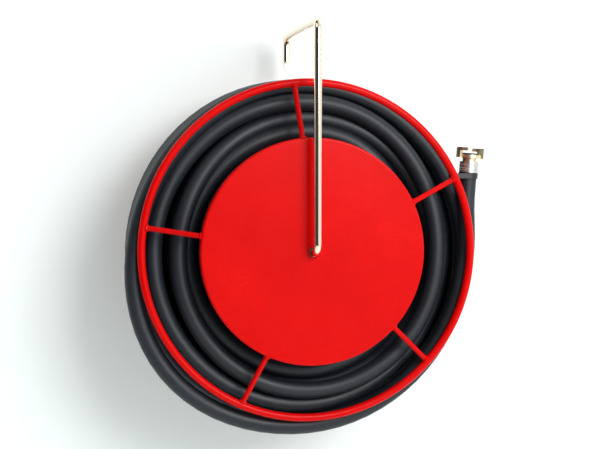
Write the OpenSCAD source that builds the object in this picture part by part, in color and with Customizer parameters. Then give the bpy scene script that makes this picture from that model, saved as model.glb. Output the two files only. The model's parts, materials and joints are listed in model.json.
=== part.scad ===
// Wall-mounted hose reel. A drum of welded rod and pressed discs turns on a hollow spindle
// that carries the water to the hose, and a bent rod swings round the drum to guide the hose.
// Millimetres, +Z up. The wall is the plane y = 0 and the reel stands out from it towards -Y.
// In the comments below, "out" is the distance from the wall.

/* [Drum] */
// Radius of each ring, to the middle of its rod
ring_r = 256.5; // [250:0.5:320]
// Diameter of the rod that the rings are bent from
ring_rod_d = 12; // [9:0.5:16]
// Diameter of the spokes
spoke_d = 8; // [5:0.5:10]
// Radius of the two pressed discs
disc_r = 172; // [150:1:210]
// Sheet thickness of the discs
disc_t = 3; // [2:0.5:5]
// How far the front disc's face stands in front of the front ring
dish = 33; // [24:1:45]
// Depth of the front disc's turned-back rim
front_rim = 15; // [12:1:20]
// Outside radius of the barrel that the hose is wound on
barrel_r = 118.5; // [100:0.5:130]
// Wall thickness of the barrel
barrel_t = 2; // [1.5:0.5:4]
// Gap between the wound hose and the ring on each side
side_gap = 2; // [1:0.5:6]

/* [Hose] */
// Outside diameter of the hose
hose_d = 27; // [22:0.5:33]
// Bore of the hose
hose_bore = 19; // [12:0.5:20]
// Turns side by side across the drum
hose_columns = 5; // [4:1:6]
// Layers of turns on the barrel
hose_layers = 6; // [5:1:7]
// How far the slack outer turns hang off centre, sideways
slack_x = 8; // [0:1:12]
// How far the slack outer turns hang off centre, downwards
slack_z = 12; // [0:1:16]

/* [Wall bracket] */
// Width of the wall plate
plate_w = 150; // [145:1:200]
// Height of the wall plate
plate_h = 230; // [225:1:300]
// Thickness of the wall plate
plate_t = 8; // [5:0.5:12]
// Distance between wall bolts, sideways
bolt_pitch_x = 110; // [90:1:115]
// Distance between wall bolts, upwards
bolt_pitch_z = 190; // [180:1:195]
// Diameter of the wall bolt holes
bolt_hole_d = 13; // [9:0.5:15]
// Clear depth between the wall plate and the face plate
bracket_depth = 50; // [46:1:80]
// Width of the face plate
face_w = 110; // [100:1:120]
// Height of the face plate
face_h = 150; // [130:1:165]
// Thickness of the face plate
face_t = 8; // [6:0.5:12]
// Thickness of the bracket's cheeks
cheek_t = 6; // [4:0.5:10]

/* [Spindle and hub] */
// Diameter of the spindle where the swivel body turns on it
spindle_d = 40; // [36:0.5:48]
// Diameter of the spindle's front journal
journal_d = 30; // [28:0.5:36]
// Diameter of the spindle's flange
spindle_flange_d = 84; // [80:1:90]
// Thickness of the spindle's flange
spindle_flange_t = 8; // [7:0.5:12]
// Diameter of the waterway through the spindle
waterway_d = 22; // [16:0.5:24]
// Diameter of the swivel body's flange
swivel_flange_d = 120; // [116:1:140]
// Thickness of the swivel body's flange
swivel_flange_t = 6; // [5:0.5:9]
// Wall of the swivel body round its bush pockets
swivel_wall = 8; // [6:0.5:12]
// Wall thickness of the plain bushes
bush_t = 3; // [2:0.5:5]
// Radial clearance of each running fit
run_gap = 0.05; // [0.02:0.01:0.09]
// Clearance between pieces that are only assembled together
fit_gap = 0.3; // [0.2:0.05:0.6]

/* [Water supply] */
// Outside diameter of the supply pipe
pipe_d = 26.9; // [20:0.1:27.5]
// Outside diameter of the thread at the pipe's lower end
pipe_thread_d = 26.4; // [19.5:0.1:27]
// Length of the supply pipe below the inlet elbow
pipe_length = 165; // [80:1:180]

/* [Guide arm] */
// Diameter of the guide rod
guide_rod_d = 12; // [8:0.5:14]
// Distance from the front disc's face to the middle of the guide's front leg
guide_stand_off = 25; // [20:1:40]
// Radius of the guide rod's bends, to the middle of the rod
guide_bend = 15; // [14:1:18]
// Gap between the slack turns and the guide's crossing
guide_gap = 45.5; // [34:0.5:70]
// Drop from the crossing to the hooked tip behind the drum
guide_drop = 51.5; // [36:0.5:57]
// Length of the hooked tip
guide_hook = 18; // [14:1:19]
// Gap between the rear ring and the guide's rear leg
guide_rear_gap = 14; // [13:1:20]

/* [Hose end coupling] */
// Wall of the crimped ferrules
ferrule_t = 1.5; // [1:0.1:2.5]
// Length of the ferrule on the free end
ferrule_length = 17; // [12:1:30]
// Width of the coupling across its claws
coupling_w = 43; // [40:1:52]
// Height of the coupling's head with its claws
coupling_head = 16; // [14:1:22]

/* [Hidden] */
$fn = 96;

// Colours
red = [0.86, 0.06, 0.07];
hose_black = [0.07, 0.08, 0.10];
brass = [0.80, 0.66, 0.33];
zinc = [0.72, 0.73, 0.72];
chrome = [0.85, 0.83, 0.78];
nylon = [0.88, 0.87, 0.82];
rubber = [0.05, 0.05, 0.05];

// Angles of the hand-welded spokes, anticlockwise from three o'clock
spoke_angles = [25.5, 95.5, 171.5, 245.5, 317];

// Small lengths used to run a cutter past the face that it cuts
past = 1;

// Places along the axis, as distances from the wall
face_back = plate_t + bracket_depth;
face_front = face_back + face_t;
flange_front = face_front + spindle_flange_t;
turn_gap = 2;
swivel_back = flange_front + turn_gap;
rear_disc_back = swivel_back + swivel_flange_t;
rear_disc_inside = rear_disc_back + disc_t;
rear_ring_out = rear_disc_back + ring_rod_d / 2;
pack_back = rear_ring_out + ring_rod_d / 2 + side_gap;
pack_w = (hose_columns + 0.5) * hose_d;
pack_front = pack_back + pack_w;
front_ring_out = pack_front + side_gap + ring_rod_d / 2;
front_disc_face = front_ring_out + dish;
front_disc_inside = front_disc_face - disc_t;
guide_leg_out = front_disc_face + guide_stand_off;
guide_rear_out = rear_disc_back - guide_rear_gap - guide_rod_d / 2;

// The wound hose: each layer lies in the grooves of the one below it
layer_step = hose_d * sin(60);
first_turn_r = barrel_r + hose_d / 2;
first_turn_out = pack_back + hose_d / 2;
tight_r = barrel_r + hose_d + layer_step * (hose_layers - 1);
slack_play = 1;
slack_r = tight_r + norm([slack_x, slack_z]) + slack_play;
slack_reach = slack_r + norm([slack_x, slack_z]);
lay_gap = 0.2;

// Wall bracket
plate_corner_r = 12;
cheek_inset = 3;
cheek_x = face_w / 2 - cheek_inset - cheek_t;

// Spindle, measured out from the wall
spigot_r = 19;
spigot_length = 14;
spigot_back = face_back - spigot_length;
seal_section_r = 1.7;
seal_groove_w = 4;
seal_clear = 0.1;
port_r = 7;
gallery_w = 14;
gallery_depth = 2;
seal_land = 5.5;
seal_step = gallery_w / 2 + seal_land;
seal_outs = [first_turn_out - seal_step, first_turn_out + seal_step];
swivel_bore_gap = 0.5;
swivel_bore_r = spindle_d / 2 + swivel_bore_gap;
bush_length = 14;
swivel_pocket_r = spindle_d / 2 + run_gap + bush_t;
swivel_r = swivel_pocket_r + swivel_wall;
swivel_land = 6;
swivel_front = seal_outs[1] + seal_section_r + swivel_land + bush_length;
washer_t = 2;
washer_back = swivel_front + 0.3;
ring_t = 1.6;
shoulder_land = 3;
shoulder_out = washer_back + washer_t + ring_t + shoulder_land;
nose_gap = 6;
spindle_front = front_disc_inside - nose_gap;

// Countersunk bolts that hold the spindle to the face plate
spindle_bolt_count = 4;
spindle_bolt_r = 4;
spindle_bolt_head_r = 8;
spindle_bolt_edge = 11;
spindle_bolt_circle_r = spindle_flange_d / 2 - spindle_bolt_edge;
spindle_nut_h = 6.5;
spindle_nut_r = 7.5;

// Screws that hold the swivel body to the rear disc
swivel_screw_count = 6;
swivel_screw_r = 3;
swivel_screw_head_r = 5;
swivel_screw_head_h = 4;
swivel_screw_edge = 10;
swivel_screw_circle_r = swivel_flange_d / 2 - swivel_screw_edge;
swivel_nut_h = 5;
swivel_nut_r = 5.8;

// Front bearing
front_bush_t = 5;
front_bush_r = journal_d / 2 + run_gap + front_bush_t;
front_hub_t = 5;
front_hub_length = 40;
front_bush_length = 24;
front_bush_recess = 10;
front_bush_front = front_disc_inside - front_bush_recess;

// Guide pivot: a friction bush in the spindle's nose, and a pin in a groove of the rod
guide_r = max(slack_reach, ring_r + ring_rod_d / 2) + guide_gap + guide_rod_d / 2;
guide_tip_z = guide_r - guide_drop;
guide_hook_bend = 10;
guide_bush_t = 4;
guide_bush_r = guide_rod_d / 2 + run_gap + guide_bush_t;
guide_bush_length = 24;
guide_bore_r = guide_rod_d / 2 + 0.3;
guide_end_out = spindle_front - 50;
keeper_r = 2;
keeper_out = spindle_front - 36;
keeper_length = 25;
keeper_groove_depth = 2.2;
centre_hole_r = guide_rod_d / 2 + 1.5;
centre_lip_r = 1.6;

// Outlet from the swivel body to the first turn of hose
port_angle = 90;
outlet_pipe_r = hose_d / 2 - 0.5;
outlet_bend = 16;
outlet_boss_r = outlet_pipe_r + 4;
outlet_boss_end = swivel_r + 9;
outlet_bore_r = 8;
outlet_collar = 6;
outlet_tail_length = 26;
start_length = 34;
start_from = outlet_bend + outlet_collar;
ferrule_start_length = 20;
pocket_gap = 3;

// Water supply
elbow_r = 16;
elbow_out = plate_t + bracket_depth / 2;
elbow_drop = 42;
elbow_bore_r = 8;
elbow_thread_length = 12;
pipe_thread_length = 16;
locknut_h = 9;
locknut_r = 19;

// Route of the free end of the hose, from the outer turn to its ferrule, as [x, z]
free_route = [[251, -42], [255, -20], [257, 0], [257.5, 20], [257, 40], [256.5, 60],
    [257, 80], [258.5, 100], [260, 118], [261.5, 136]];
free_sides = 12;
free_out = pack_front - hose_d / 2;
free_end = free_route[len(free_route) - 1];
free_lean = 4.5;

// Clip on the front ring that holds the free end, just below its ferrule
clip_h = 9;
clip_t = 1.9;
clip_opening = 70;
clip_lap = 4;
clip_trim = 1;

// Hose end coupling, measured from the end of the hose
neck_r = 11;
neck_h = 6;
coupling_plate_r = 17;
coupling_plate_h = 5;
claw_wall = 6;
claw_angle = 52;
claw_hook_angle = 34;
claw_hook_h = 5;
coupling_bore_r = 8;
seal_r = 13;
seal_h = 2.5;

// A place at a distance out from the wall: x stays x, y is upwards and z is outwards
module outward(out) {
    translate([0, -out, 0])
        rotate([90, 0, 0])
            children();
}

// A solid of revolution round the reel's axis, from a profile of [radius, out]
module turned() {
    outward(0)
        rotate_extrude()
            children();
}

// A tube or a ring round the reel's axis
module turned_ring(inner_r, outer_r, from, to) {
    turned()
        translate([inner_r, from])
            square([outer_r - inner_r, to - from]);
}

// The upright plane through the reel's axis: x is outwards and y is upwards
module side_plane() {
    rotate([90, 0, -90])
        children();
}

// A straight length of rod in the plane, from a point along a heading
module straight(from, heading, length, r) {
    translate(from)
        rotate([0, 0, heading])
            rotate([0, 90, 0])
                cylinder(h = length, r = r);
}

// A quarter bend to the left in the plane, from a point and a heading
module left_bend(from, heading, bend, r) {
    translate(from + bend * [-sin(heading), cos(heading)])
        rotate([0, 0, heading - 90])
            rotate_extrude(angle = 90)
                translate([bend, 0])
                    circle(r = r);
}

// Copies round the reel's axis
module round_axis(count, phase = 0) {
    for (i = [0 : count - 1])
        rotate([0, 0, phase + 360 * i / count])
            children();
}

module rounded_plate(w, h, t, corner_r) {
    translate([-w / 2 + corner_r, -h / 2, 0])
        cube([w - 2 * corner_r, h, t]);
    translate([-w / 2, -h / 2 + corner_r, 0])
        cube([w, h - 2 * corner_r, t]);
    for (x = [-1, 1], y = [-1, 1])
        translate([x * (w / 2 - corner_r), y * (h / 2 - corner_r), 0])
            cylinder(h = t, r = corner_r);
}

// Wall bracket

module wall_plate() {
    color(red)
        outward(0)
            difference() {
                rounded_plate(plate_w, plate_h, plate_t, plate_corner_r);
                for (x = [-1, 1], z = [-1, 1])
                    translate([x * bolt_pitch_x / 2, z * bolt_pitch_z / 2, -past])
                        cylinder(h = plate_t + 2 * past, d = bolt_hole_d);
            }
}

module bracket_cheek(side) {
    color(red)
        outward(plate_t)
            translate([side * (cheek_x + cheek_t / 2) - cheek_t / 2, -face_h / 2, 0])
                cube([cheek_t, face_h, bracket_depth]);
}

module face_plate() {
    color(red)
        outward(face_back)
            difference() {
                rounded_plate(face_w, face_h, face_t, plate_corner_r);
                translate([0, 0, -past])
                    cylinder(h = face_t + 2 * past, r = spigot_r + fit_gap);
                round_axis(spindle_bolt_count, 45)
                    translate([spindle_bolt_circle_r, 0, -past])
                        cylinder(h = face_t + 2 * past, r = spindle_bolt_r + fit_gap);
            }
}

// Spindle

module spindle() {
    color(brass)
        difference() {
            union() {
                turned_ring(0, spigot_r, spigot_back, face_front);
                turned_ring(0, spindle_flange_d / 2, face_front, flange_front);
                turned_ring(0, spindle_d / 2, flange_front, shoulder_out);
                turned_ring(0, journal_d / 2, shoulder_out, spindle_front);
            }
            turned_ring(0, waterway_d / 2, spigot_back - past, first_turn_out + port_r + 3);
            outward(first_turn_out)
                round_axis(4)
                    rotate([0, 90, 0])
                        cylinder(h = spindle_d, r = port_r);
            for (out = seal_outs)
                turned_ring(spindle_d / 2 + seal_clear - 2 * seal_section_r - 0.1,
                    spindle_d, out - seal_groove_w / 2, out + seal_groove_w / 2);
            turned_ring(spindle_d / 2 - 1.2, spindle_d,
                washer_back + washer_t, washer_back + washer_t + ring_t);
            outward(spindle_front - guide_bush_length)
                cylinder(h = guide_bush_length + past, r = guide_bush_r);
            outward(guide_end_out - 4)
                cylinder(h = spindle_front, r = guide_bore_r);
            keeper_place(keeper_length + 2, keeper_r);
            spindle_bolt_places()
                countersunk_bolt(fit_gap);
        }
}

module keeper_place(length, r) {
    outward(keeper_out)
        translate([-length / 2, guide_rod_d / 2, 0])
            rotate([0, 90, 0])
                cylinder(h = length, r = r);
}

module spindle_bolt_places() {
    outward(flange_front)
        round_axis(spindle_bolt_count, 45)
            translate([spindle_bolt_circle_r, 0, 0])
                children();
}

// A bolt whose head lies flush with the flange, with room round it when it is a cutter
module countersunk_bolt(room = 0) {
    head_h = spindle_bolt_head_r - spindle_bolt_r;
    shank = spindle_flange_t + face_t + spindle_nut_h + 3;
    translate([0, 0, -head_h])
        cylinder(h = head_h, r1 = spindle_bolt_r + room, r2 = spindle_bolt_head_r + room);
    translate([0, 0, -shank])
        cylinder(h = shank - head_h / 2, r = spindle_bolt_r + room);
}

module spindle_bolts() {
    color(zinc)
        spindle_bolt_places()
            difference() {
                countersunk_bolt();
                translate([0, 0, -2.5])
                    cylinder(h = 2.5 + past, r = 3, $fn = 6);
            }
}

module spindle_nuts() {
    color(zinc)
        spindle_bolt_places()
            translate([0, 0, -spindle_flange_t - face_t - spindle_nut_h])
                difference() {
                    cylinder(h = spindle_nut_h, r = spindle_nut_r, $fn = 6);
                    translate([0, 0, -past])
                        cylinder(h = spindle_nut_h + 2 * past, r = spindle_bolt_r + 0.1);
                }
}

module spindle_seals() {
    color(rubber)
        for (out = seal_outs)
            turned()
                translate([spindle_d / 2 + 0.4 - seal_section_r, out])
                    circle(r = seal_section_r, $fn = 32);
}

module thrust_washer() {
    color(nylon)
        turned_ring(spindle_d / 2 + 0.1, swivel_r - 2, washer_back, washer_back + washer_t);
}

module retaining_ring() {
    color(zinc)
        difference() {
            turned_ring(spindle_d / 2 - 1.1, spindle_d / 2 + 3.5,
                washer_back + washer_t + 0.1, washer_back + washer_t + ring_t - 0.1);
            outward(washer_back)
                translate([-3, 0, 0])
                    cube([6, spindle_d, 2 * (washer_t + ring_t)]);
        }
}

module guide_bush() {
    color(nylon)
        turned_ring(guide_rod_d / 2 + run_gap, guide_bush_r,
            spindle_front - guide_bush_length, spindle_front);
}

module guide_keeper_pin() {
    color(zinc)
        keeper_place(keeper_length, keeper_r);
}

// Water supply: an elbow behind the spindle, and a pipe that runs down behind the drum

module inlet_elbow() {
    color(brass)
        difference() {
            union() {
                outward(elbow_out)
                    cylinder(h = spigot_back - elbow_out, r = elbow_r);
                outward(spigot_back)
                    cylinder(h = elbow_thread_length, r = waterway_d / 2 - 0.1);
                translate([0, -elbow_out, 0])
                    sphere(r = elbow_r);
                translate([0, -elbow_out, -elbow_drop])
                    cylinder(h = elbow_drop, r = elbow_r);
            }
            turned_ring(waterway_d / 2 - 0.1, spigot_r + fit_gap, spigot_back, face_back);
            outward(elbow_out)
                cylinder(h = bracket_depth, r = elbow_bore_r);
            translate([0, -elbow_out, -elbow_drop - past])
                cylinder(h = elbow_drop + past, r = elbow_bore_r);
            translate([0, -elbow_out, -elbow_drop - past])
                cylinder(h = elbow_thread_length + past, r = pipe_d / 2 + 0.1);
        }
}

module inlet_pipe() {
    pipe_top = -elbow_drop + elbow_thread_length - 1;
    color(zinc)
        translate([0, -elbow_out, pipe_top - pipe_length])
            difference() {
                union() {
                    cylinder(h = pipe_thread_length, d = pipe_thread_d);
                    translate([0, 0, pipe_thread_length])
                        cylinder(h = pipe_length - pipe_thread_length, d = pipe_d);
                }
                translate([0, 0, -past])
                    cylinder(h = pipe_length + 2 * past, r = elbow_bore_r + 2);
            }
}

module inlet_locknut() {
    color(brass)
        translate([0, -elbow_out, -elbow_drop - locknut_h])
            difference() {
                cylinder(h = locknut_h, r = locknut_r, $fn = 6);
                translate([0, 0, -past])
                    cylinder(h = locknut_h + 2 * past, r = pipe_d / 2 + 0.1);
            }
}

// Swivel body: it turns on the spindle and takes the water from the spindle's ports

module swivel_body() {
    color(brass)
        difference() {
            union() {
                turned_ring(swivel_bore_r, swivel_flange_d / 2, swivel_back, rear_disc_back);
                turned_ring(swivel_bore_r, swivel_r, rear_disc_back, swivel_front);
                port_frame()
                    rotate([0, 90, 0])
                        cylinder(h = outlet_boss_end, r = outlet_boss_r);
            }
            turned_ring(0, swivel_bore_r, swivel_back - past, swivel_front + past);
            turned_ring(0, swivel_pocket_r, swivel_back - past, swivel_back + bush_length);
            turned_ring(0, swivel_pocket_r, swivel_front - bush_length, swivel_front + past);
            turned_ring(0, swivel_bore_r + gallery_depth,
                first_turn_out - gallery_w / 2, first_turn_out + gallery_w / 2);
            port_frame()
                rotate([0, 90, 0])
                    cylinder(h = outlet_boss_end + past, r = outlet_bore_r);
            swivel_screw_places(swivel_back - past)
                cylinder(h = swivel_flange_t + 2 * past, r = swivel_screw_r + fit_gap);
        }
}

// The outlet's place: x is away from the axis, y is along the first turn, z is outwards
module port_frame() {
    outward(first_turn_out)
        rotate([0, 0, port_angle])
            children();
}

module swivel_screw_places(out) {
    outward(out)
        round_axis(swivel_screw_count, 30)
            translate([swivel_screw_circle_r, 0, 0])
                children();
}

module swivel_rear_bush() {
    color(nylon)
        turned_ring(spindle_d / 2 + run_gap, swivel_pocket_r,
            swivel_back + 0.5, swivel_back + bush_length);
}

module swivel_front_bush() {
    color(nylon)
        turned_ring(spindle_d / 2 + run_gap, swivel_pocket_r,
            swivel_front - bush_length, swivel_front);
}

module swivel_screws() {
    color(zinc)
        swivel_screw_places(swivel_back - swivel_screw_head_h) {
            difference() {
                cylinder(h = swivel_screw_head_h, r = swivel_screw_head_r);
                translate([0, 0, -past])
                    cylinder(h = 2 + past, r = 2.6, $fn = 6);
            }
            cylinder(h = swivel_screw_head_h + swivel_flange_t + disc_t + swivel_nut_h + 2,
                r = swivel_screw_r);
        }
}

module swivel_nuts() {
    color(zinc)
        swivel_screw_places(rear_disc_inside)
            difference() {
                cylinder(h = swivel_nut_h, r = swivel_nut_r, $fn = 6);
                translate([0, 0, -past])
                    cylinder(h = swivel_nut_h + 2 * past, r = swivel_screw_r + 0.1);
            }
}

// Drum sides

module ring(out) {
    color(red)
        turned()
            translate([ring_r, out])
                circle(d = ring_rod_d, $fn = 48);
}

// A disc's turned rim and rounded edge, with its face towards +out or -out
module disc_profile(inner_r, face, rim, side) {
    edge_r = disc_t;
    translate([inner_r, min(face, face - side * disc_t)])
        square([disc_r - edge_r - inner_r, disc_t]);
    translate([disc_r - edge_r, face - side * edge_r])
        circle(r = edge_r, $fn = 48);
    translate([disc_r - disc_t, min(face - side * edge_r, face - side * rim)])
        square([disc_t, rim - edge_r]);
}

module rear_disc() {
    color(red)
        difference() {
            turned()
                disc_profile(swivel_r + fit_gap, rear_disc_back, ring_rod_d, -1);
            swivel_screw_places(rear_disc_back - past)
                cylinder(h = disc_t + 2 * past, r = swivel_screw_r + fit_gap);
        }
}

module front_disc() {
    color(red)
        turned() {
            disc_profile(centre_hole_r + centre_lip_r, front_disc_face, front_rim, 1);
            translate([centre_hole_r + centre_lip_r, front_disc_inside + centre_lip_r])
                circle(r = centre_lip_r, $fn = 32);
        }
}

// A straight spoke from a disc's rim to the middle of a ring, cut to fit against both
module spoke(angle, rim_out, ring_out) {
    rise = rim_out - ring_out;
    run = ring_r - disc_r;
    slope = atan2(rise, run);
    color(red)
        difference() {
            outward(ring_out)
                rotate([0, 0, angle])
                    translate([ring_r, 0, 0])
                        rotate([0, slope - 90, 0])
                            cylinder(h = norm([rise, run]) + spoke_d, d = spoke_d, $fn = 48);
            turned_ring(0, disc_r, ring_out - 2 * ring_rod_d, rim_out + 2 * ring_rod_d);
            turned()
                translate([ring_r, ring_out])
                    circle(d = ring_rod_d, $fn = 48);
        }
}

module rear_spoke(i) {
    spoke(spoke_angles[i - 1], rear_ring_out, rear_ring_out);
}

module front_spoke(i) {
    spoke(spoke_angles[i - 1], front_disc_face - front_rim / 2, front_ring_out);
}

module barrel() {
    color(red)
        difference() {
            turned_ring(barrel_r - barrel_t, barrel_r, rear_disc_inside, front_disc_inside);
            port_frame()
                translate([barrel_r / 2, 0, 0])
                    rotate([0, 90, 0])
                        cylinder(h = barrel_r, r = outlet_pipe_r + 2);
        }
}

module front_hub() {
    color(red)
        turned_ring(front_bush_r, front_bush_r + front_hub_t,
            front_disc_inside - front_hub_length, front_disc_inside);
}

module front_bush() {
    color(nylon)
        turned_ring(journal_d / 2 + run_gap, front_bush_r,
            front_bush_front - front_bush_length, front_bush_front);
}

// Outlet: an elbow through the barrel that lays the hose along the first turn

module outlet_elbow() {
    bend_x = first_turn_r - outlet_bend;
    color(brass)
        port_frame()
            difference() {
                union() {
                    translate([outlet_boss_end, 0, 0])
                        rotate([0, 90, 0])
                            cylinder(h = bend_x - outlet_boss_end, r = outlet_pipe_r);
                    left_bend([bend_x, 0, 0], 0, outlet_bend, outlet_pipe_r);
                    straight([first_turn_r, outlet_bend, 0], 90, outlet_collar, outlet_pipe_r);
                    straight([first_turn_r, start_from, 0], 90,
                        outlet_tail_length, hose_bore / 2);
                }
                translate([outlet_boss_end - past, 0, 0])
                    rotate([0, 90, 0])
                        cylinder(h = bend_x - outlet_boss_end + past, r = outlet_bore_r - 1);
                left_bend([bend_x, 0, 0], 0, outlet_bend, outlet_bore_r - 1);
                straight([first_turn_r, outlet_bend, 0], 90,
                    outlet_collar + outlet_tail_length + past, outlet_bore_r - 1);
            }
}

module hose_start() {
    color(hose_black)
        port_frame()
            difference() {
                straight([first_turn_r, start_from, 0], 90, start_length, hose_d / 2);
                straight([first_turn_r, start_from - past, 0], 90,
                    start_length + 2 * past, hose_bore / 2 + 0.1);
            }
}

module start_ferrule() {
    color(zinc)
        port_frame()
            difference() {
                straight([first_turn_r, start_from + 2, 0], 90,
                    ferrule_start_length, hose_d / 2 + ferrule_t);
                straight([first_turn_r, start_from, 0], 90,
                    ferrule_start_length + 4, hose_d / 2 + 0.1);
            }
}

// The wound hose: one solid for the tight layers, with room for the outlet
module hose_pack() {
    pocket_r = hose_d / 2 + ferrule_t + pocket_gap;
    color(hose_black)
        difference() {
            turned_ring(barrel_r + lay_gap, tight_r, pack_back, pack_front);
            port_frame()
                translate([first_turn_r - pocket_r, -outlet_pipe_r - pocket_gap, -pocket_r])
                    cube([2 * pocket_r,
                        outlet_pipe_r + pocket_gap + start_from + start_length,
                        2 * pocket_r]);
        }
}

// The slack outer turns, which hang off centre round the tight layers
module hose_slack() {
    color(hose_black)
        difference() {
            translate([-slack_x, 0, -slack_z])
                turned_ring(0, slack_r, pack_back, pack_front);
            turned_ring(0, tight_r, pack_back - past, pack_front + past);
        }
}

// Direction of the free end's route at one of its points
function free_heading(i) =
    i == len(free_route) - 1
        ? [sin(free_lean), cos(free_lean)]
        : let (step = free_route[i + 1] - free_route[max(i - 1, 0)]) step / norm(step);

// One ring of the free end's tube, square to the route
function free_ring(i) = [
    for (k = [0 : free_sides - 1])
        let (
            a = 360 * k / free_sides,
            side = hose_d / 2 * cos(a),
            p = free_route[i],
            h = free_heading(i)
        )
        [p[0] + side * h[1], -free_out + hose_d / 2 * sin(a), p[1] - side * h[0]]
];

module hose_free_end() {
    rings = len(free_route);
    points = [for (i = [0 : rings - 1]) each free_ring(i)];
    walls = [
        for (i = [0 : rings - 2], k = [0 : free_sides - 1])
            let (next = (k + 1) % free_sides)
            [i * free_sides + k, (i + 1) * free_sides + k,
                (i + 1) * free_sides + next, i * free_sides + next]
    ];
    start_cap = [for (k = [0 : free_sides - 1]) k];
    end_cap = [for (k = [0 : free_sides - 1]) rings * free_sides - 1 - k];
    color(hose_black)
        polyhedron(points = points, faces = concat([start_cap], walls, [end_cap]));
}

// The end of the hose: z runs on along the hose
module at_free_end() {
    translate([free_end[0], -free_out, free_end[1]])
        rotate([0, free_lean, 0])
            children();
}

module end_ferrule() {
    color(zinc)
        at_free_end()
            translate([0, 0, -ferrule_length])
                difference() {
                    cylinder(h = ferrule_length, r = hose_d / 2 + ferrule_t);
                    translate([0, 0, -past])
                        cylinder(h = ferrule_length + 2 * past, r = hose_d / 2 + 0.1);
                }
}

// A spring clip round the hose, open on its outer side, with a tab welded behind the ring
module hose_clip() {
    clip_z = free_end[1] - ferrule_length - clip_h;
    ring_x = sqrt(pow(ring_r, 2) - pow(clip_z + clip_h, 2));
    tab_from = min(ring_x, free_end[0]) - clip_lap;
    tab_to = max(ring_x, free_end[0] - 2 * clip_lap) + clip_lap;
    color(rubber) {
        at_free_end()
            translate([0, 0, -ferrule_length - clip_h])
                rotate([0, 0, clip_opening / 2])
                    rotate_extrude(angle = 360 - clip_opening)
                        translate([hose_d / 2 + 0.1, 0])
                            square([clip_t, clip_h]);
        outward(pack_front + side_gap - clip_t)
            translate([tab_from, clip_z, 0])
                cube([tab_to - tab_from, clip_h - clip_trim, clip_t]);
    }
}

// A claw coupling: a neck, a round plate, and two claws with hooks that point one way round
module end_coupling() {
    claw_r = coupling_w / 2;
    plate_z = neck_h;
    claw_top = neck_h + coupling_head;
    color(brass)
        at_free_end()
            difference() {
                union() {
                    cylinder(h = plate_z, r = neck_r);
                    translate([0, 0, plate_z])
                        cylinder(h = coupling_plate_h, r = coupling_plate_r);
                    for (turn = [0, 180])
                        rotate([0, 0, turn - claw_angle / 2]) {
                            claw_arc(claw_r, plate_z, claw_top, claw_angle);
                            claw_arc(claw_r, claw_top - claw_hook_h, claw_top,
                                claw_angle + claw_hook_angle);
                        }
                }
                translate([0, 0, -past])
                    cylinder(h = claw_top, r = coupling_bore_r);
            }
}

module claw_arc(outer_r, from, to, angle) {
    rotate_extrude(angle = angle)
        translate([outer_r - claw_wall, from])
            square([claw_wall, to - from]);
}

module coupling_seal() {
    color(rubber)
        at_free_end()
            translate([0, 0, neck_h + coupling_plate_h])
                difference() {
                    cylinder(h = seal_h, r = seal_r);
                    translate([0, 0, -past])
                        cylinder(h = seal_h + 2 * past, r = coupling_bore_r);
                }
}

// Guide arm: one rod, bent into the spindle, up, back over the drum, down, and forward again

module guide_rod() {
    r = guide_rod_d / 2;
    leg = guide_leg_out;
    rear = guide_rear_out;
    tip = guide_tip_z;
    bend = guide_bend;
    color(chrome)
        difference() {
            side_plane() {
                straight([guide_end_out, 0], 0, leg - bend - guide_end_out, r);
                left_bend([leg - bend, 0], 0, bend, r);
                straight([leg, bend], 90, guide_r - 2 * bend, r);
                left_bend([leg, guide_r - bend], 90, bend, r);
                straight([leg - bend, guide_r], 180, leg - rear - 2 * bend, r);
                left_bend([rear + bend, guide_r], 180, bend, r);
                straight([rear, guide_r - bend], 270, guide_drop - bend - guide_hook_bend, r);
                left_bend([rear, tip + guide_hook_bend], 270, guide_hook_bend, r);
                straight([rear + guide_hook_bend, tip], 0, guide_hook - guide_hook_bend, r);
            }
            turned_ring(r - keeper_groove_depth, 2 * r,
                keeper_out - keeper_r - 0.2, keeper_out + keeper_r + 0.2);
        }
}

wall_plate();
bracket_cheek(-1);  // bracket_cheek_left
bracket_cheek(1);  // bracket_cheek_right
face_plate();
spindle();
spindle_bolts();
spindle_nuts();
spindle_seals();
thrust_washer();
retaining_ring();
guide_bush();
guide_keeper_pin();
inlet_elbow();
inlet_pipe();
inlet_locknut();
swivel_body();
swivel_rear_bush();
swivel_front_bush();
swivel_screws();
swivel_nuts();
rear_disc();
ring(rear_ring_out);  // rear_ring
rear_spoke(1);  // rear_spoke_1
rear_spoke(2);  // rear_spoke_2
rear_spoke(3);  // rear_spoke_3
rear_spoke(4);  // rear_spoke_4
rear_spoke(5);  // rear_spoke_5
barrel();
front_disc();
front_hub();
front_bush();
ring(front_ring_out);  // front_ring
front_spoke(1);  // front_spoke_1
front_spoke(2);  // front_spoke_2
front_spoke(3);  // front_spoke_3
front_spoke(4);  // front_spoke_4
front_spoke(5);  // front_spoke_5
outlet_elbow();
hose_start();
start_ferrule();
hose_pack();
hose_slack();
hose_free_end();
hose_clip();
end_ferrule();
end_coupling();
coupling_seal();
guide_rod();
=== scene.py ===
"""A wall-mounted hose reel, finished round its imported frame.

Metres, +Z up. The wall is the plane y = 0 and the reel stands out from it towards -Y, so "out" is the
distance from the wall. Angles go anticlockwise round the reel's axis from three o'clock.
"""

import json
from math import atan2, cos, exp, hypot, pi, radians, sin

import bmesh
import bpy
from bpy.props import FloatProperty, FloatVectorProperty, IntProperty, PointerProperty
from mathutils import Matrix, Vector, noise


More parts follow.
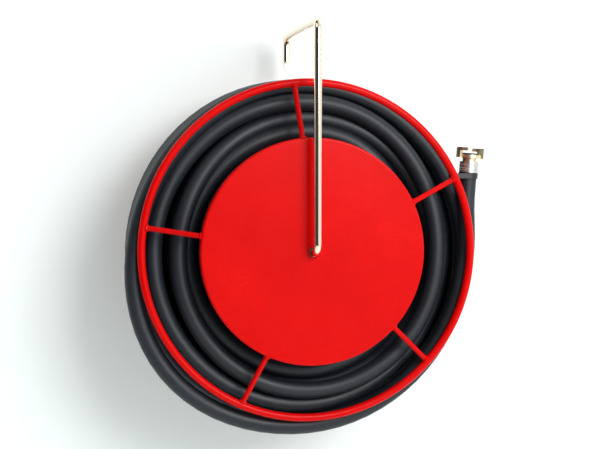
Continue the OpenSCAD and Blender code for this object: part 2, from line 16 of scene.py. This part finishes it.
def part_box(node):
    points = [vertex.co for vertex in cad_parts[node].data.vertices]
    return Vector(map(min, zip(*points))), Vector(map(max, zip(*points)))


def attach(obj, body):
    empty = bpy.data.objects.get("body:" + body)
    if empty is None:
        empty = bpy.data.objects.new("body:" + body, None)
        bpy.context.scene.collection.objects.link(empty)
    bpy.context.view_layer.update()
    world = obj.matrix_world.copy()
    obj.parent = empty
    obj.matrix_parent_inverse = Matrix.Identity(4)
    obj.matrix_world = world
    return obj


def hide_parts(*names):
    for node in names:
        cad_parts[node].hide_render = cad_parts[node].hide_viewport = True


bl_info = {
    "name": "Wall Hose Reel",
    "version": (1, 0, 0),
    "blender": (4, 5, 0),
    "location": "View3D > Sidebar > Hose Reel",
    "description": "Winds the hose and finishes the pieces of a wall-mounted hose reel",
    "category": "Object",
}

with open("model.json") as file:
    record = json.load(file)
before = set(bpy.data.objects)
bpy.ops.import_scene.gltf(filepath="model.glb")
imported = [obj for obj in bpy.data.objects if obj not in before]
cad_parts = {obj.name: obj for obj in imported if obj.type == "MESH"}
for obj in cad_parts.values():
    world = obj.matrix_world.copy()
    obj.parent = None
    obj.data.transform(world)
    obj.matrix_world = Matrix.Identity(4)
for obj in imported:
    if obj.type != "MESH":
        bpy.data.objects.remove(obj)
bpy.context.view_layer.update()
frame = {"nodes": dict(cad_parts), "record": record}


# Places that come from the frame


def reach(node):
    """How far a node reaches sideways from the reel's axis."""
    low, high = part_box(node)
    return (high.x - low.x) / 2


def out_of(node):
    """A node's nearest and furthest distances from the wall."""
    low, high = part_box(node)
    return -high.y, -low.y


BARREL_R = reach("barrel")
PACK_BACK, PACK_FRONT = out_of("hose_pack")
RING_BACK, RING_FRONT = out_of("front_ring")
RING_ROD_R = (RING_FRONT - RING_BACK) / 2
RING_R = reach("front_ring") - RING_ROD_R
DISC_R = reach("front_disc")
DISC_FACE = out_of("front_disc")[1]

# The hose's last stretch, from the outer turn to its ferrule, as (x, z), and how far the ferrule leans
# to the right
FREE_ROUTE = [
    (0.251, -0.042), (0.255, -0.020), (0.257, 0.0), (0.2575, 0.020), (0.257, 0.040), (0.2565, 0.060),
    (0.257, 0.080), (0.2585, 0.100), (0.260, 0.118), (0.2615, 0.136),
]
FREE_LEAN = radians(4.5)

# Where the hose leaves the outlet, to the left of the axis, and its straight stretch in the ferrule there
START_ACROSS = 0.022
START_LENGTH = 0.034

# The spokes' places round the drum, in degrees, and their radius
SPOKE_ANGLES = (25.5, 95.5, 171.5, 245.5, 317.0)
SPOKE_R = 0.004

# The lip round the disc's centre hole, and the crimped rings of the free end's ferrule with their
# places along it from its middle
LIP_R = 0.0092
LIP_WIRE_R = 0.0014
FERRULE_R = 0.015
CRIMP_WIRE_R = 0.0007
CRIMP_PLACES = (-0.005, -0.002, 0.003)

# Points of a new mesh closer than this are one, and its edges sharper than this stay sharp
MERGE_WITHIN = 1e-7
SHARP_FROM = radians(38)

# More than the number of vertices in any new mesh
RANK_ROOM = 1e6


class HoseSettings(bpy.types.PropertyGroup):
    """The hose and how it is wound"""

    diameter: FloatProperty(
        name="Outside Diameter", description="Outside diameter of the hose",
        default=0.027, min=0.015, max=0.04, unit="LENGTH")
    length: FloatProperty(
        name="Length", description="Length of the whole hose",
        default=36.0, min=20.0, max=50.0, unit="LENGTH")
    columns: IntProperty(
        name="Columns", description="Turns side by side across the drum", default=5, min=3, max=7)
    layers: IntProperty(
        name="Layers", description="Layers of turns on the barrel", default=6, min=2, max=7)
    steps: IntProperty(
        name="Steps per Turn", description="Points along one turn of the hose",
        default=72, min=24, max=144)
    sag: FloatProperty(
        name="Sag", description="How far the outer turns bulge at the lower left, where they lie slack",
        default=0.0195, min=0.0, max=0.03, unit="LENGTH")
    colour: FloatVectorProperty(
        name="Colour", description="Colour of the rubber cover", subtype="COLOR",
        default=(0.0060, 0.0088, 0.0135), min=0.0, max=1.0)


class MetalSettings(bpy.types.PropertyGroup):
    """The drum, the bracket and the metal pieces"""

    enamel: FloatVectorProperty(
        name="Enamel", description="Colour of the enamel on the drum and the bracket", subtype="COLOR",
        default=(0.70, 0.0022, 0.0018), min=0.0, max=1.0)
    brass: FloatVectorProperty(
        name="Brass", description="Colour of the brass fittings", subtype="COLOR",
        default=(0.93, 0.80, 0.52), min=0.0, max=1.0)
    plating: FloatVectorProperty(
        name="Plating", description="Colour of the plated guide rod", subtype="COLOR",
        default=(1.0, 0.87, 0.68), min=0.0, max=1.0)
    weld: FloatProperty(
        name="Weld Size", description="Thickness of the weld beads at the spokes' ends",
        default=0.0022, min=0.0005, max=0.004, unit="LENGTH")


class StageSettings(bpy.types.PropertyGroup):
    """The wall, the lights and the camera"""

    camera_place: FloatVectorProperty(
        name="Camera Place", description="Where the camera stands", subtype="TRANSLATION",
        default=(-0.405, -2.19, 0.128), unit="LENGTH")
    camera_turn: FloatProperty(
        name="Camera Turn", description="How far the camera turns right from facing the wall",
        default=radians(11.37), subtype="ANGLE")
    camera_tilt: FloatProperty(
        name="Camera Tilt", description="How far the camera tilts down from level",
        default=radians(2.54), subtype="ANGLE")
    lens: FloatProperty(
        name="Lens", description="Focal length in millimetres", default=77.9, min=20.0, max=200.0)
    wall: FloatVectorProperty(
        name="Wall", description="Colour of the wall and floor", subtype="COLOR",
        default=(0.79, 0.825, 0.81), min=0.0, max=1.0)


# Meshes


def rank(element):
    """A number for an edge or a face that depends only on its vertices."""
    numbers = [vert.index for vert in element.verts]
    return sum(numbers) + min(numbers) / RANK_ROOM


def finished(mesh, name, material, body):
    """A mesh made into a named piece that rides on a body."""
    bmesh.ops.remove_doubles(mesh, verts=mesh.verts, dist=MERGE_WITHIN)
    bmesh.ops.recalc_face_normals(mesh, faces=mesh.faces)
    # Spins and extrusions leave edges and faces in another order each time, so they are put in one order
    mesh.verts.index_update()
    mesh.edges.sort(key=rank)
    mesh.faces.sort(key=rank)
    for edge in mesh.edges:
        edge.smooth = len(edge.link_faces) == 2 and edge.calc_face_angle() < SHARP_FROM
    for face in mesh.faces:
        face.smooth = True
    data = bpy.data.meshes.new(name)
    mesh.to_mesh(data)
    mesh.free()
    data.materials.append(material)
    piece = bpy.data.objects.new(name, data)
    bpy.context.collection.objects.link(piece)
    if body:
        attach(piece, body)
    return piece


def add_band(mesh, centre, axis, radius, wire_r, steps, sides=12):
    """A round ring of round wire, square to an axis."""
    axis = axis.normalized()
    outward = axis.orthogonal().normalized()
    wire = [
        mesh.verts.new(centre + outward * (radius + wire_r * cos(turn)) + axis * wire_r * sin(turn))
        for turn in (2 * pi * side / sides for side in range(sides))
    ]
    edges = [mesh.edges.new((vert, wire[(i + 1) % sides])) for i, vert in enumerate(wire)]
    bmesh.ops.spin(mesh, geom=wire + edges, cent=centre, axis=axis, angle=2 * pi, steps=steps,
                   use_merge=True)


# Materials

# The finishes made so far, by the record's material slots
FINISHES = {}

# How strongly grain shows, unless a finish says otherwise
GRAIN_STRENGTH = 0.05


def new_material(name):
    """A node material, its tree, its Principled shader and its Object coordinates."""
    material = bpy.data.materials.new(name + "_finish")
    material.use_nodes = True
    tree = material.node_tree
    shader = tree.nodes["Principled BSDF"]
    where = tree.nodes.new("ShaderNodeTexCoord")
    return material, tree, shader, where.outputs["Object"]


def group_of(name, inputs, outputs):
    """A shader node group with named sockets, and the nodes at its two ends."""
    tree = bpy.data.node_groups.new(name, "ShaderNodeTree")
    for way, sockets in (("INPUT", inputs), ("OUTPUT", outputs)):
        for label, kind in sockets:
            tree.interface.new_socket(label, in_out=way, socket_type=kind)
    return tree, tree.nodes.new("NodeGroupInput"), tree.nodes.new("NodeGroupOutput")


def feed(tree, socket, value):
    """Links a socket to another one, or gives it a number or a colour."""
    if isinstance(value, bpy.types.NodeSocket):
        tree.links.new(value, socket)
    elif hasattr(value, "__len__"):
        socket.default_value = (*value[:3], 1.0)
    else:
        socket.default_value = value


def add_noise(tree, vector, scale, detail, roughness=0.5):
    """A noise pattern from 0 to 1."""
    node = tree.nodes.new("ShaderNodeTexNoise")
    feed(tree, node.inputs["Vector"], vector)
    feed(tree, node.inputs["Scale"], scale)
    node.inputs["Detail"].default_value = detail
    node.inputs["Roughness"].default_value = roughness
    return node.outputs["Fac"]


def add_range(tree, value, low, high, to_low=0.0, to_high=1.0):
    """A value stretched from one range to another, and held there."""
    node = tree.nodes.new("ShaderNodeMapRange")
    ends = {"Value": value, "From Min": low, "From Max": high, "To Min": to_low, "To Max": to_high}
    for label, end in ends.items():
        feed(tree, node.inputs[label], end)
    return node.outputs["Result"]


def add_math(tree, operation, first, second):
    """Two values added or multiplied."""
    node = tree.nodes.new("ShaderNodeMath")
    node.operation = operation
    feed(tree, node.inputs[0], first)
    feed(tree, node.inputs[1], second)
    return node.outputs["Value"]


def add_mix(tree, mask, first, second):
    """The first colour where the mask is 0, and the second where it is 1."""
    node = tree.nodes.new("ShaderNodeMix")
    node.data_type = "RGBA"
    # The node has sockets for each kind of data, and these are the ones for colours
    mask_socket, first_socket, second_socket = node.inputs[0], node.inputs[6], node.inputs[7]
    feed(tree, mask_socket, mask)
    feed(tree, first_socket, first)
    feed(tree, second_socket, second)
    return node.outputs[2]


def add_bump(tree, height, distance, strength=GRAIN_STRENGTH):
    """A normal that follows a height."""
    node = tree.nodes.new("ShaderNodeBump")
    node.inputs["Strength"].default_value = strength
    node.inputs["Distance"].default_value = distance
    feed(tree, node.inputs["Height"], height)
    return node.outputs["Normal"]


def surface_group():
    """Grain, dust and fine scratches, which every finish takes with its own values."""
    if "Surface" in bpy.data.node_groups:
        return bpy.data.node_groups["Surface"]
    number = "NodeSocketFloat"
    tree, into, out = group_of(
        "Surface",
        inputs=[("Vector", "NodeSocketVector"), ("Grain Scale", number), ("Dust", number)],
        outputs=[("Grain", number), ("Cloud", number), ("Dust", number), ("Scratch", number)])
    vector = into.outputs["Vector"]
    grain = add_noise(tree, vector, into.outputs["Grain Scale"], detail=2.0)
    cloud = add_noise(tree, vector, 9.0, detail=4.0, roughness=0.6)
    fine = add_noise(tree, vector, 260.0, detail=5.0, roughness=0.7)
    specks = add_range(tree, fine, 0.52, 0.80)
    patches = add_range(tree, cloud, 0.35, 0.75, to_low=0.1)
    dust = add_math(tree, "MULTIPLY", add_math(tree, "MULTIPLY", specks, patches), into.outputs["Dust"])
    # The scratches are a pattern drawn out in one direction
    stretch = tree.nodes.new("ShaderNodeMapping")
    stretch.inputs["Scale"].default_value = (1400.0, 60.0, 25.0)
    stretch.inputs["Rotation"].default_value = (0.3, 0.5, 0.9)
    feed(tree, stretch.inputs["Vector"], vector)
    lines = add_noise(tree, stretch.outputs["Vector"], 1.0, detail=1.0)
    scratch = add_math(tree, "MULTIPLY", add_range(tree, lines, 0.66, 0.70), patches)
    for label, socket in (("Grain", grain), ("Cloud", cloud), ("Dust", dust), ("Scratch", scratch)):
        feed(tree, out.inputs[label], socket)
    return tree


def add_surface(tree, vector, grain_scale, dust=0.0):
    """The shared surface pattern with one finish's values."""
    node = tree.nodes.new("ShaderNodeGroup")
    node.node_tree = surface_group()
    node.inputs["Grain Scale"].default_value = grain_scale
    node.inputs["Dust"].default_value = dust
    feed(tree, node.inputs["Vector"], vector)
    return node.outputs


def enamel():
    """Semi-gloss red enamel with a fine orange peel."""
    colour = bpy.context.scene.reel_metal.enamel
    dust_colour, scratch_colour = (0.42, 0.05, 0.045), (0.30, 0.02, 0.02)
    material, tree, shader, where = new_material("red_enamel")
    surface = add_surface(tree, where, grain_scale=340.0, dust=0.10)
    deep = [channel * 0.86 for channel in colour]
    tone = add_mix(tree, add_range(tree, surface["Cloud"], 0.3, 0.7), deep, colour)
    dusty = add_mix(tree, surface["Dust"], tone, dust_colour)
    faint = add_math(tree, "MULTIPLY", surface["Scratch"], 0.12)
    feed(tree, shader.inputs["Base Color"], add_mix(tree, faint, dusty, scratch_colour))
    rough = add_range(tree, surface["Cloud"], 0.2, 0.8, to_low=0.20, to_high=0.28)
    feed(tree, shader.inputs["Roughness"], add_math(tree, "ADD", rough, surface["Dust"]))
    shader.inputs["Specular IOR Level"].default_value = 0.10
    feed(tree, shader.inputs["Normal"], add_bump(tree, surface["Grain"], distance=0.0002))
    return material


def rubber(name, colour, roughness, dust):
    """A black with a satin skin, a fine grain, paler worn patches and a little dust."""
    dust_colour = (0.05, 0.055, 0.065)
    material, tree, shader, where = new_material(name)
    surface = add_surface(tree, where, grain_scale=1500.0, dust=dust)
    worn = [channel * 1.6 + 0.002 for channel in colour]
    tone = add_mix(tree, add_range(tree, surface["Cloud"], 0.35, 0.75, to_high=0.7), colour, worn)
    feed(tree, shader.inputs["Base Color"], add_mix(tree, surface["Dust"], tone, dust_colour))
    rough = add_range(tree, surface["Cloud"], 0.2, 0.8, roughness - 0.06, roughness + 0.08)
    feed(tree, shader.inputs["Roughness"], add_math(tree, "ADD", rough, surface["Dust"]))
    shader.inputs["Specular IOR Level"].default_value = 0.5
    feed(tree, shader.inputs["Normal"], add_bump(tree, surface["Grain"], distance=0.0002))
    return material


def metal(name, colour, roughness, grain_scale=700.0, dull=0.8):
    """Bare or plated metal, a little duller in patches."""
    material, tree, shader, where = new_material(name)
    surface = add_surface(tree, where, grain_scale)
    dark = [channel * dull for channel in colour]
    tone = add_mix(tree, add_range(tree, surface["Cloud"], 0.3, 0.7), colour, dark)
    feed(tree, shader.inputs["Base Color"], tone)
    shader.inputs["Metallic"].default_value = 1.0
    rough = add_range(tree, surface["Cloud"], 0.25, 0.75, roughness * 0.8, roughness * 1.3)
    extra = add_math(tree, "MULTIPLY", surface["Scratch"], 0.08)
    feed(tree, shader.inputs["Roughness"], add_math(tree, "ADD", rough, extra))
    feed(tree, shader.inputs["Normal"], add_bump(tree, surface["Grain"], distance=0.0003))
    return material


def nylon():
    """Natural nylon, cloudy and slightly grainy."""
    cream, ivory = (0.80, 0.78, 0.70), (0.88, 0.86, 0.80)
    material, tree, shader, where = new_material("nylon")
    surface = add_surface(tree, where, grain_scale=1200.0)
    feed(tree, shader.inputs["Base Color"], add_mix(tree, surface["Cloud"], cream, ivory))
    shader.inputs["Roughness"].default_value = 0.48
    feed(tree, shader.inputs["Normal"], add_bump(tree, surface["Grain"], distance=0.0003, strength=0.08))
    return material


def finish_of(slot):
    """The material for one of the record's material slots, made once."""
    if slot in FINISHES:
        return FINISHES[slot]
    hose, metals = bpy.context.scene.reel_hose, bpy.context.scene.reel_metal
    makers = {
        "red_enamel": enamel,
        "hose_rubber": lambda: rubber("hose_rubber", hose.colour, roughness=0.50, dust=0.12),
        "seal_rubber": lambda: rubber("seal_rubber", (0.012, 0.012, 0.013), roughness=0.6, dust=0.1),
        "black_steel": lambda: rubber("black_steel", (0.010, 0.010, 0.011), roughness=0.34, dust=0.1),
        "brass": lambda: metal("brass", metals.brass, roughness=0.36),
        "zinc_steel": lambda: metal("zinc_steel", (0.78, 0.77, 0.72), roughness=0.36),
        "chrome_rod": lambda: metal("chrome_rod", metals.plating, roughness=0.10, grain_scale=300.0,
                                    dull=0.93),
        "nylon": nylon,
    }
    FINISHES[slot] = makers[slot]()
    return FINISHES[slot]


# The hose


class Turn:
    """One turn of the wound hose: where it lies, and how loosely"""

    # How the front turn of each loose layer strays from its circle: wider, to the right, downwards, and oval
    WANDER = {
        2: (0.0062, 0.0015, 0.0025, 0.0),
        3: (0.0051, 0.0040, 0.0065, -0.0042),
        4: (0.0088, -0.0025, 0.0070, -0.0008),
        5: (0.0101, 0.0, 0.0085, 0.0),
    }
    # Where the slack of the last layer hangs, and how far round it spreads
    SAG_ANGLE = radians(222)
    SAG_SPREAD = radians(28)
    # What a turn loses of its looseness for each turn in front of it, in any loose layer but the last and
    # in the last, and what it loses of its sag
    FIRMER = 0.3
    FIRMER_LAST = 0.08
    LESS_SAG = 0.3
    # How much wider each turn of the last layer is than the one in front of it
    WIDER = 0.0012

    def __init__(self, hose, layer, column):
        # Each layer lies in the hollows of the one under it
        half = hose.diameter / 2
        nested = half * (layer % 2)
        self.layer = layer
        self.out = PACK_BACK + half + nested + column * hose.diameter
        self.radius = BARREL_R + half + layer * hose.diameter * sin(pi / 3)
        in_front = hose.columns - 1 - column
        outermost = layer == hose.layers - 1
        firmer = self.FIRMER_LAST if outermost else self.FIRMER
        self.loose = max(0.0, 1 - firmer * in_front) if layer in self.WANDER else 0.0
        self.sag = hose.sag * max(0.0, 1 - self.LESS_SAG * in_front) if outermost else 0.0
        self.wider = self.WIDER * in_front if outermost else 0.0

    def place(self, angle):
        """Radius and distance from the wall at an angle."""
        if not self.loose:
            return self.radius, self.out
        lift, side, down, oval = self.WANDER[self.layer]
        off = (angle - self.SAG_ANGLE + pi) % (2 * pi) - pi
        bulge = self.sag * exp(-0.5 * (off / self.SAG_SPREAD) ** 2)
        shift = lift + side * cos(angle) - down * sin(angle) + oval * cos(2 * angle) + bulge
        return self.radius + self.loose * shift + self.wider, self.out


def smooth_step(share):
    """A share from 0 to 1 that starts and ends gently."""
    share = min(max(share, 0.0), 1.0)
    return share * share * (3 - 2 * share)


class Winding:
    """The hose's way round the drum, from the outlet to the place where its free end leaves"""

    # Each quarter of a turn has one kind of step, so that neighbouring turns stay a diameter apart:
    # up a layer at the front, forwards, up a layer at the back, and backwards
    UP_AT_FRONT = radians(350)
    FORWARDS = radians(80)
    UP_AT_BACK = radians(170)
    BACKWARDS = radians(260)
    STEP = radians(90)

    def __init__(self, hose, start):
        self.hose = hose
        self.turns = []
        self.leaves = []
        angle = start
        for layer in range(hose.layers):
            # The second layer starts at the back again, so that the last one ends at the front
            forward = layer < 2 or layer % 2 == 1
            columns = range(hose.columns) if forward else reversed(range(hose.columns))
            for count, column in enumerate(columns, 1):
                if count < hose.columns:
                    window = self.FORWARDS if forward else self.BACKWARDS
                else:
                    window = self.UP_AT_FRONT if forward else self.UP_AT_BACK
                leave = angle + (window - angle) % (2 * pi)
                self.turns.append(Turn(hose, layer, column))
                self.leaves.append(leave)
                angle = leave + self.step_after(len(self.turns) - 1)
        self.end = self.leaves[-1]

    def step_after(self, index):
        """The angle in which the hose moves on from a turn, twice as large on its way back to the rear."""
        back_to_rear = index == self.hose.columns - 1
        return 2 * self.STEP if back_to_rear else self.STEP

    def place(self, angle):
        """Radius and distance from the wall at a total angle."""
        index = next((i for i, leave in enumerate(self.leaves) if angle < leave), len(self.turns) - 1)
        here = self.turns[index].place(angle)
        if index == 0:
            return here
        left = self.leaves[index - 1]
        share = smooth_step((angle - left) / self.step_after(index - 1))
        before = self.turns[index - 1].place(angle)
        return tuple(a + (b - a) * share for a, b in zip(before, here))


def hose_path(hose):
    """The hose's centre line, from the outlet to its free end."""
    # The angle over which the hose eases into the winding and out of it
    settle = radians(80)
    first_r = BARREL_R + hose.diameter / 2
    first_out = PACK_BACK + hose.diameter / 2
    across = START_ACROSS + START_LENGTH
    straight = (START_LENGTH * quarter / 4 for quarter in range(5))
    points = [Vector((-START_ACROSS - way, -first_out, first_r)) for way in straight]
    start = atan2(first_r, -across)
    start_r = hypot(first_r, across)
    winding = Winding(hose, start)
    free_x, free_z = FREE_ROUTE[0]
    free_r = hypot(free_x, free_z)
    step = 2 * pi / hose.steps
    count = int((winding.end - start) / step)
    for i in range(1, count):
        angle = start + i * (winding.end - start) / count
        radius, out = winding.place(angle)
        radius += (start_r - radius) * (1 - smooth_step((angle - start) / settle))
        radius += (free_r - radius) * smooth_step((angle - winding.end + settle) / settle)
        points.append(Vector((radius * cos(angle), -out, radius * sin(angle))))
    free_out = PACK_FRONT - hose.diameter / 2
    points += [Vector((x, -free_out, z)) for x, z in FREE_ROUTE]
    return points


def hose_curve(points, diameter):
    """A round tube along the points, as a curve of one open spline."""
    curve = bpy.data.curves.new("hose", "CURVE")
    curve.dimensions = "3D"
    curve.twist_mode = "MINIMUM"
    curve.bevel_depth = diameter / 2
    curve.bevel_resolution = 6
    curve.use_fill_caps = True
    spline = curve.splines.new("POLY")
    spline.points.add(len(points) - 1)
    for place, point in zip(spline.points, points):
        place.co = (*point, 1.0)
    spline.use_smooth = True
    return curve


class REEL_OT_hose(bpy.types.Operator):
    """Winds the hose on the drum and lays its free end along the ring"""

    bl_idname = "reel.hose"
    bl_label = "Hose"

    def execute(self, context):
        hose = context.scene.reel_hose
        points = hose_path(hose)
        curve = hose_curve(points, hose.diameter)
        curve.materials.append(finish_of("hose_rubber"))
        piece = bpy.data.objects.new("hose", curve)
        context.collection.objects.link(piece)
        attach(piece, "drum")
        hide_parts("hose_start", "hose_pack", "hose_slack", "hose_free_end")
        return {"FINISHED"}


# The drum's welds and small details

# A weld bead's length and the height of its lumps, as shares of its thickness, how fine the lumps are,
# and what makes the beads on the ring differ from those on the disc
BEAD_LENGTH = 1.5
LUMP_HEIGHT = 0.35
LUMP_SCALE = 420
RING_SEED = 7


def weld_bead(mesh, centre, along, thickness, seed):
    """A lumpy bead of weld round a spoke's end."""
    made = bmesh.ops.create_icosphere(mesh, subdivisions=3, radius=1.0)["verts"]
    turn = along.to_track_quat("Z", "Y").to_matrix().to_4x4()
    radius = SPOKE_R + thickness
    size = Matrix.Diagonal((radius, radius, thickness * BEAD_LENGTH, 1))
    bmesh.ops.transform(mesh, matrix=Matrix.Translation(centre) @ turn @ size, verts=made)
    for vert in made:
        lump = noise.noise(vert.co * LUMP_SCALE + Vector((seed, 0, 0)))
        vert.co += (vert.co - centre).normalized() * lump * thickness * LUMP_HEIGHT


class REEL_OT_welds(bpy.types.Operator):
    """Lays the weld beads that join the spokes to the rings and discs"""

    bl_idname = "reel.welds"
    bl_label = "Welds"

    def execute(self, context):
        thickness = context.scene.reel_metal.weld
        for side in ("front", "rear"):
            mesh = bmesh.new()
            back, front = out_of(side + "_ring")
            ring_out = (back + front) / 2
            rim_back, rim_front = out_of(side + "_disc")
            rim_out = (rim_back + rim_front) / 2 if side == "front" else ring_out
            for number, degrees in enumerate(SPOKE_ANGLES):
                angle = radians(degrees)
                away = Vector((cos(angle), 0, sin(angle)))
                rim = away * DISC_R + Vector((0, -rim_out, 0))
                ring = away * RING_R + Vector((0, -ring_out, 0))
                along = (ring - rim).normalized()
                weld_bead(mesh, rim, along, thickness, number)
                weld_bead(mesh, ring - along * RING_ROD_R, along, thickness, number + RING_SEED)
            finished(mesh, side + "_welds", finish_of("red_enamel"), "drum")
        return {"FINISHED"}


class REEL_OT_details(bpy.types.Operator):
    """Rolls a lip round the disc's centre hole and crimps the ferrule on the free end"""

    bl_idname = "reel.details"
    bl_label = "Details"

    def execute(self, context):
        lip = bmesh.new()
        add_band(lip, Vector((0, -DISC_FACE, 0)), Vector((0, 1, 0)), LIP_R, LIP_WIRE_R, steps=96)
        finished(lip, "centre_lip", finish_of("red_enamel"), "drum")
        crimps = bmesh.new()
        low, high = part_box("end_ferrule")
        middle = (low + high) / 2
        along = Vector((sin(FREE_LEAN), 0, cos(FREE_LEAN)))
        for place in CRIMP_PLACES:
            add_band(crimps, middle + along * place, along, FERRULE_R, CRIMP_WIRE_R, steps=48)
        finished(crimps, "ferrule_crimps", finish_of("zinc_steel"), "drum")
        return {"FINISHED"}


class REEL_OT_finishes(bpy.types.Operator):
    """Gives each piece of the frame its finish"""

    bl_idname = "reel.finishes"
    bl_label = "Finishes"

    def execute(self, context):
        for part in frame["record"]["subparts"]:
            node = frame["nodes"][part["node"]]
            material = finish_of(part["material_slot"])
            if not node.data.materials:
                node.data.materials.append(material)
            for index in range(len(node.data.materials)):
                node.data.materials[index] = material
        return {"FINISHED"}


# The stage


def add_light(name, place, target, size, power):
    """A rectangular light at a place that shines at a target."""
    data = bpy.data.lights.new(name, "AREA")
    data.shape = "RECTANGLE"
    data.size, data.size_y = size
    data.energy = power
    light = bpy.data.objects.new(name, data)
    light.location = place
    light.rotation_euler = (Vector(target) - Vector(place)).to_track_quat("-Z", "Y").to_euler()
    bpy.context.collection.objects.link(light)


def wall_material(colour):
    """Matt wall paint that is clear from behind, so that the reel's back can be seen."""
    material, tree, shader, where = new_material("wall_paint")
    surface = add_surface(tree, where, grain_scale=500.0)
    shaded = [channel * 0.985 for channel in colour]
    feed(tree, shader.inputs["Base Color"], add_mix(tree, surface["Cloud"], shaded, colour))
    shader.inputs["Roughness"].default_value = 0.85
    shader.inputs["Emission Color"].default_value = (0.88, 0.95, 0.92, 1)
    shader.inputs["Emission Strength"].default_value = 0.20
    feed(tree, shader.inputs["Normal"], add_bump(tree, surface["Grain"], distance=0.0004))
    clear = tree.nodes.new("ShaderNodeBsdfTransparent")
    behind = tree.nodes.new("ShaderNodeNewGeometry")
    mix = tree.nodes.new("ShaderNodeMixShader")
    feed(tree, mix.inputs["Fac"], behind.outputs["Backfacing"])
    feed(tree, mix.inputs[1], shader.outputs["BSDF"])
    feed(tree, mix.inputs[2], clear.outputs["BSDF"])
    feed(tree, tree.nodes["Material Output"].inputs["Surface"], mix.outputs["Shader"])
    return material


def studio_world():
    """A room that is dim on the left and light on the right, and plain pale where the camera sees it."""
    dim, light, seen_by_camera = 0.05, 0.95, 0.8
    world = bpy.data.worlds.new("studio")
    world.use_nodes = True
    tree = world.node_tree
    background = tree.nodes["Background"]
    background.inputs["Color"].default_value = (0.94, 0.97, 1.0, 1)
    where = tree.nodes.new("ShaderNodeTexCoord")
    sides = tree.nodes.new("ShaderNodeSeparateXYZ")
    feed(tree, sides.inputs["Vector"], where.outputs["Generated"])
    room = add_range(tree, sides.outputs["X"], -0.08, 0.16, dim, light)
    seen = tree.nodes.new("ShaderNodeLightPath").outputs["Is Camera Ray"]
    feed(tree, background.inputs["Strength"], add_range(tree, seen, 0.0, 1.0, room, seen_by_camera))
    return world


class REEL_OT_stage(bpy.types.Operator):
    """Sets the wall, the floor, the lights and the camera"""

    bl_idname = "reel.stage"
    bl_label = "Stage"

    def execute(self, context):
        stage = context.scene.reel_stage
        data = bpy.data.cameras.new("camera")
        data.lens = stage.lens
        data.sensor_width = 36.0
        camera = bpy.data.objects.new("camera", data)
        camera.location = stage.camera_place
        camera.rotation_euler = (pi / 2 - stage.camera_tilt, 0, -stage.camera_turn)
        context.collection.objects.link(camera)
        context.scene.camera = camera
        self.backdrop(stage.wall)
        add_light("front_panel", (0.95, -2.7, 1.0), target=(0, -0.2, 0), size=(1.3, 1.2), power=60)
        add_light("top_panel", (-1.4, -1.4, 1.9), target=(-0.4, 0, -0.3), size=(1.6, 1.2), power=10)
        add_light("back_panel", (0.0, 1.8, 1.2), target=(0, -0.1, 0), size=(1.8, 1.2), power=18)
        context.scene.world = studio_world()
        context.scene.view_settings.view_transform = "Standard"
        return {"FINISHED"}

    def backdrop(self, colour):
        """A wall that curves into a floor, swept from one outline."""
        half, height, floor, cove, depth = 3.0, 2.4, -1.3, 0.3, 3.4
        # The wall stands just in front of the wall plate's back, so that the two never share a surface
        wall = -0.001
        mesh = bmesh.new()
        verts = [mesh.verts.new((-half, wall, height)), mesh.verts.new((-half, wall, floor + cove))]
        mesh.edges.new(verts)
        arc = bmesh.ops.spin(mesh, geom=[verts[1]], cent=(-half, wall - cove, floor + cove), axis=(1, 0, 0),
                             angle=-pi / 2, steps=12)
        last = [v for v in arc["geom_last"] if isinstance(v, bmesh.types.BMVert)][0]
        front = mesh.verts.new((-half, -depth, floor))
        mesh.edges.new((last, front))
        swept = bmesh.ops.extrude_edge_only(mesh, edges=mesh.edges[:])["geom"]
        across = [v for v in swept if isinstance(v, bmesh.types.BMVert)]
        bmesh.ops.translate(mesh, vec=(2 * half, 0, 0), verts=across)
        backdrop = finished(mesh, "backdrop", wall_material(colour), None)
        faces_reel = sum(face.normal.y for face in backdrop.data.polygons) < 0
        if not faces_reel:
            backdrop.data.flip_normals()


class REEL_PT_panel(bpy.types.Panel):
    """The reel's sizes, colours and steps"""

    bl_idname = "REEL_PT_panel"
    bl_label = "Hose Reel"
    bl_space_type = "VIEW_3D"
    bl_region_type = "UI"
    bl_category = "Hose Reel"

    def draw(self, context):
        for settings in (context.scene.reel_hose, context.scene.reel_metal, context.scene.reel_stage):
            box = self.layout.box()
            for name in settings.bl_rna.properties.keys():
                if name not in {"rna_type", "name"}:
                    box.prop(settings, name)
        for operator in OPERATORS:
            self.layout.operator(operator.bl_idname)


OPERATORS = (REEL_OT_stage, REEL_OT_hose, REEL_OT_finishes, REEL_OT_welds, REEL_OT_details)
SETTINGS = {"reel_hose": HoseSettings, "reel_metal": MetalSettings, "reel_stage": StageSettings}


def register():
    for name, settings in SETTINGS.items():
        bpy.utils.register_class(settings)
        setattr(bpy.types.Scene, name, PointerProperty(type=settings))
    for cls in (*OPERATORS, REEL_PT_panel):
        bpy.utils.register_class(cls)


def unregister():
    for cls in reversed((*OPERATORS, REEL_PT_panel)):
        bpy.utils.unregister_class(cls)
    for name, settings in SETTINGS.items():
        delattr(bpy.types.Scene, name)
        bpy.utils.unregister_class(settings)


def main():
    register()
    bpy.ops.reel.stage()
    bpy.ops.reel.hose()
    bpy.ops.reel.finishes()
    bpy.ops.reel.welds()
    bpy.ops.reel.details()


if __name__ == "__main__":
    main()
